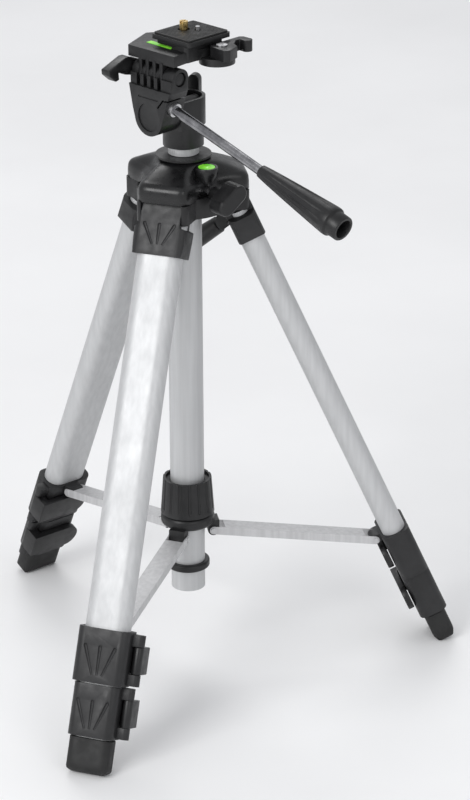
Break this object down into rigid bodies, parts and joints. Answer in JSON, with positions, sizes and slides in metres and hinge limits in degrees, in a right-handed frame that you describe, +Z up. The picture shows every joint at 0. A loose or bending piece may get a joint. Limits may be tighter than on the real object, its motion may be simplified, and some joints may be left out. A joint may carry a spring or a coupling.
{
  "type": "camera tripod",
  "caption": "Folding camera tripod with flip-lock legs, mid-level spreader, geared centre column and three-way pan head with quick-release plate.",
  "frame": {"origin": "on the ground under the axis of the centre column", "axes": "+Z up along the column, +Y towards leg a; the pan handle points roughly to -Y"},
  "size_m": [0.391, 0.4142, 0.5325],
  "materials": {
    "black_moulding": "satin",
    "black_rubber": "matte",
    "leg_aluminium": "satin anodised",
    "strut_aluminium": "satin",
    "plated_steel": "plated",
    "chrome_rod": "polished",
    "green_vial": "clear gloss",
    "brass_screw": "turned"
  },
  "bodies": {
    "stand": {"shoulder": "black_moulding", "shoulder_cover": "black_moulding", "leg_pins": "plated_steel", "bullseye_level": "green_vial", "column_ring": "black_moulding", "centre_tube": "leg_aluminium", "stop_ring": "black_moulding"},
    "leg_a": {"leg_sleeve_a": "black_moulding", "upper_tube_a": "leg_aluminium", "upper_collar_a": "black_moulding"},
    "middle_section_a": {"middle_tube_a": "leg_aluminium", "lower_collar_a": "black_moulding"},
    "lower_section_a": {"lower_tube_a": "leg_aluminium", "foot_a": "black_rubber"},
    "upper_lock_a": {"upper_lever_a": "black_moulding"},
    "lower_lock_a": {"lower_lever_a": "black_moulding"},
    "spreader_arm_a": {"strut_a": "strut_aluminium"},
    "leg_b": {"leg_sleeve_b": "black_moulding", "upper_tube_b": "leg_aluminium", "upper_collar_b": "black_moulding"},
    "middle_section_b": {"middle_tube_b": "leg_aluminium", "lower_collar_b": "black_moulding"},
    "lower_section_b": {"lower_tube_b": "leg_aluminium", "foot_b": "black_rubber"},
    "upper_lock_b": {"upper_lever_b": "black_moulding"},
    "lower_lock_b": {"lower_lever_b": "black_moulding"},
    "spreader_arm_b": {"strut_b": "strut_aluminium"},
    "leg_c": {"leg_sleeve_c": "black_moulding", "upper_tube_c": "leg_aluminium", "upper_collar_c": "black_moulding"},
    "middle_section_c": {"middle_tube_c": "leg_aluminium", "lower_collar_c": "black_moulding"},
    "lower_section_c": {"lower_tube_c": "leg_aluminium", "foot_c": "black_rubber"},
    "upper_lock_c": {"upper_lever_c": "black_moulding"},
    "lower_lock_c": {"lower_lever_c": "black_moulding"},
    "spreader_arm_c": {"strut_c": "strut_aluminium"},
    "spreader_slider": {"spreader_hub": "black_moulding"},
    "spreader_lock": {"spreader_nut": "black_moulding"},
    "column": {"inner_column": "leg_aluminium"},
    "crank": {"crank_shaft": "plated_steel", "crank_arm": "black_moulding"},
    "crank_handle": {"crank_knob": "black_moulding"},
    "column_lock": {"column_lock_knob": "black_moulding"},
    "pan": {"pan_base": "black_moulding", "tilt_pin": "plated_steel"},
    "pan_lock": {"pan_lock_knob": "black_moulding"},
    "tilt": {"tilt_body": "black_moulding", "handle_collar": "plated_steel"},
    "handle": {"handle_rod": "chrome_rod", "handle_grip": "black_moulding"},
    "platform": {"platform": "black_moulding", "tube_level": "green_vial", "qr_rivet": "plated_steel"},
    "portrait_lock": {"portrait_lever": "black_moulding"},
    "plate_lock": {"qr_lever": "black_moulding"},
    "quick_release": {"qr_plate": "black_moulding", "rubber_pad": "black_rubber"},
    "camera_bolt": {"camera_screw": "brass_screw"},
    "locating_pin": {"video_pin": "plated_steel"}
  },
  "joints": [
    {"name": "leg_fold_a", "type": "hinge", "parent": "stand", "child": "leg_a", "pos_m": [0, 0.03, 0.40718], "axis": [-1, 0, 0], "range_deg": [0, 2.5]},
    {"name": "middle_slide_a", "type": "slide", "parent": "leg_a", "child": "middle_section_a", "axis": [0, 0.4083, -0.9128], "range_m": [0, 0.28]},
    {"name": "lower_slide_a", "type": "slide", "parent": "middle_section_a", "child": "lower_section_a", "axis": [0, 0.4083, -0.9128], "range_m": [0, 0.28]},
    {"name": "upper_lock_turn_a", "type": "hinge", "parent": "leg_a", "child": "upper_lock_a", "pos_m": [-0.0255, 0.17139, 0.08131], "axis": [0, 0.4083, -0.9128], "range_deg": [0, 95]},
    {"name": "lower_lock_turn_a", "type": "hinge", "parent": "middle_section_a", "child": "lower_lock_a", "pos_m": [-0.023, 0.18813, 0.04388], "axis": [0, 0.4083, -0.9128], "range_deg": [0, 95]},
    {"name": "spreader_arm_turn_a", "type": "hinge", "parent": "leg_a", "child": "spreader_arm_a", "pos_m": [0, 0.15238, 0.09197], "axis": [-1, 0, 0], "range_deg": [0, 17.18]},
    {"name": "leg_fold_b", "type": "hinge", "parent": "stand", "child": "leg_b", "pos_m": [-0.02598, -0.015, 0.40718], "axis": [0.5, -0.866, 0], "range_deg": [0, 2.5]},
    {"name": "middle_slide_b", "type": "slide", "parent": "leg_b", "child": "middle_section_b", "axis": [-0.3536, -0.2042, -0.9128], "range_m": [0, 0.28]},
    {"name": "lower_slide_b", "type": "slide", "parent": "middle_section_b", "child": "lower_section_b", "axis": [-0.3536, -0.2042, -0.9128], "range_m": [0, 0.28]},
    {"name": "upper_lock_turn_b", "type": "hinge", "parent": "leg_b", "child": "upper_lock_b", "pos_m": [-0.13568, -0.10778, 0.08131], "axis": [-0.3536, -0.2042, -0.9128], "range_deg": [0, 95]},
    {"name": "lower_lock_turn_b", "type": "hinge", "parent": "middle_section_b", "child": "lower_lock_b", "pos_m": [-0.15143, -0.11398, 0.04388], "axis": [-0.3536, -0.2042, -0.9128], "range_deg": [0, 95]},
    {"name": "spreader_arm_turn_b", "type": "hinge", "parent": "leg_b", "child": "spreader_arm_b", "pos_m": [-0.13196, -0.07619, 0.09197], "axis": [0.5, -0.866, 0], "range_deg": [0, 17.18]},
    {"name": "leg_fold_c", "type": "hinge", "parent": "stand", "child": "leg_c", "pos_m": [0.02598, -0.015, 0.40718], "axis": [0.5, 0.866, 0], "range_deg": [0, 2.5]},
    {"name": "middle_slide_c", "type": "slide", "parent": "leg_c", "child": "middle_section_c", "axis": [0.3536, -0.2042, -0.9128], "range_m": [0, 0.28]},
    {"name": "lower_slide_c", "type": "slide", "parent": "middle_section_c", "child": "lower_section_c", "axis": [0.3536, -0.2042, -0.9128], "range_m": [0, 0.28]},
    {"name": "upper_lock_turn_c", "type": "hinge", "parent": "leg_c", "child": "upper_lock_c", "pos_m": [0.16118, -0.06361, 0.08131], "axis": [0.3536, -0.2042, -0.9128], "range_deg": [0, 95]},
    {"name": "lower_lock_turn_c", "type": "hinge", "parent": "middle_section_c", "child": "lower_lock_c", "pos_m": [0.17442, -0.07415, 0.04388], "axis": [0.3536, -0.2042, -0.9128], "range_deg": [0, 95]},
    {"name": "spreader_arm_turn_c", "type": "hinge", "parent": "leg_c", "child": "spreader_arm_c", "pos_m": [0.13196, -0.07619, 0.09197], "axis": [0.5, 0.866, 0], "range_deg": [0, 17.18]},
    {"name": "spreader_slide", "type": "slide", "parent": "stand", "child": "spreader_slider", "axis": [0, 0, 1], "range_m": [0, 0.0379]},
    {"name": "spreader_lock_turn", "type": "hinge", "parent": "spreader_slider", "child": "spreader_lock", "pos_m": [0, 0, 0.14], "axis": [0, 0, 1], "range_deg": [0, 120]},
    {"name": "column_raise", "type": "slide", "parent": "stand", "child": "column", "axis": [0, 0, 1], "range_m": [0, 0.19]},
    {"name": "crank_turn", "type": "hinge", "parent": "stand", "child": "crank", "pos_m": [0.05055, 0.01244, 0.39138], "axis": [0.866, 0.5, 0], "continuous": true},
    {"name": "crank_handle_fold", "type": "hinge", "parent": "crank", "child": "crank_handle", "pos_m": [0.06078, 0.02472, 0.35307], "axis": [0.3051, -0.5284, -0.7923], "range_deg": [0, 90]},
    {"name": "column_lock_turn", "type": "hinge", "parent": "stand", "child": "column_lock", "pos_m": [0, -0.05, 0.40528], "axis": [0, -1, 0], "range_deg": [0, 180]},
    {"name": "pan_turn", "type": "hinge", "parent": "column", "child": "pan", "pos_m": [0, 0, 0.445], "axis": [0, 0, 1], "continuous": true},
    {"name": "pan_lock_turn", "type": "hinge", "parent": "pan", "child": "pan_lock", "pos_m": [0.02125, 0.01317, 0.453], "axis": [0.8499, 0.527, 0], "range_deg": [0, 90]},
    {"name": "tilt_turn", "type": "hinge", "parent": "pan", "child": "tilt", "pos_m": [-0.02587, -0.00263, 0.465], "axis": [-0.9949, -0.1011, 0], "range_deg": [-30, 75]},
    {"name": "handle_twist", "type": "hinge", "parent": "tilt", "child": "handle", "pos_m": [-0.02579, -0.02122, 0.4737], "axis": [0.0968, -0.9534, -0.2857], "range_deg": [0, 180]},
    {"name": "portrait_flip", "type": "hinge", "parent": "tilt", "child": "platform", "pos_m": [-0.02447, -0.00249, 0.4967], "axis": [0.1011, -0.9949, 0], "range_deg": [0, 90]},
    {"name": "portrait_lock_turn", "type": "hinge", "parent": "platform", "child": "portrait_lock", "pos_m": [-0.0273, 0.02537, 0.4967], "axis": [0.1011, -0.9949, 0], "range_deg": [0, 40]},
    {"name": "plate_lock_turn", "type": "hinge", "parent": "platform", "child": "plate_lock", "pos_m": [0.01025, -0.03464, 0.514], "axis": [0, 0, -1], "range_deg": [0, 40]},
    {"name": "plate_lift", "type": "slide", "parent": "platform", "child": "quick_release", "axis": [0, 0, 1], "range_m": [0, 0.02]},
    {"name": "camera_bolt_turn", "type": "hinge", "parent": "quick_release", "child": "camera_bolt", "pos_m": [0.00099, -0.0008, 0.522], "axis": [0, 0, 1], "continuous": true},
    {"name": "locating_pin_press", "type": "slide", "parent": "quick_release", "child": "locating_pin", "axis": [0, 0, -1], "range_m": [0, 0.002], "stiffness_N_per_m": 300}
  ],
  "couplings": [
    {"joint": "spreader_arm_turn_a", "follows": "leg_fold_a", "ratio": 6.6733},
    {"joint": "leg_fold_b", "follows": "leg_fold_a", "ratio": 1},
    {"joint": "spreader_arm_turn_b", "follows": "leg_fold_a", "ratio": 6.6733},
    {"joint": "leg_fold_c", "follows": "leg_fold_a", "ratio": 1},
    {"joint": "spreader_arm_turn_c", "follows": "leg_fold_a", "ratio": 6.6733},
    {"joint": "spreader_slide", "follows": "leg_fold_a", "m_per_rad": 0.85619},
    {"joint": "crank_turn", "follows": "column_raise", "rad_per_m": 250}
  ]
}
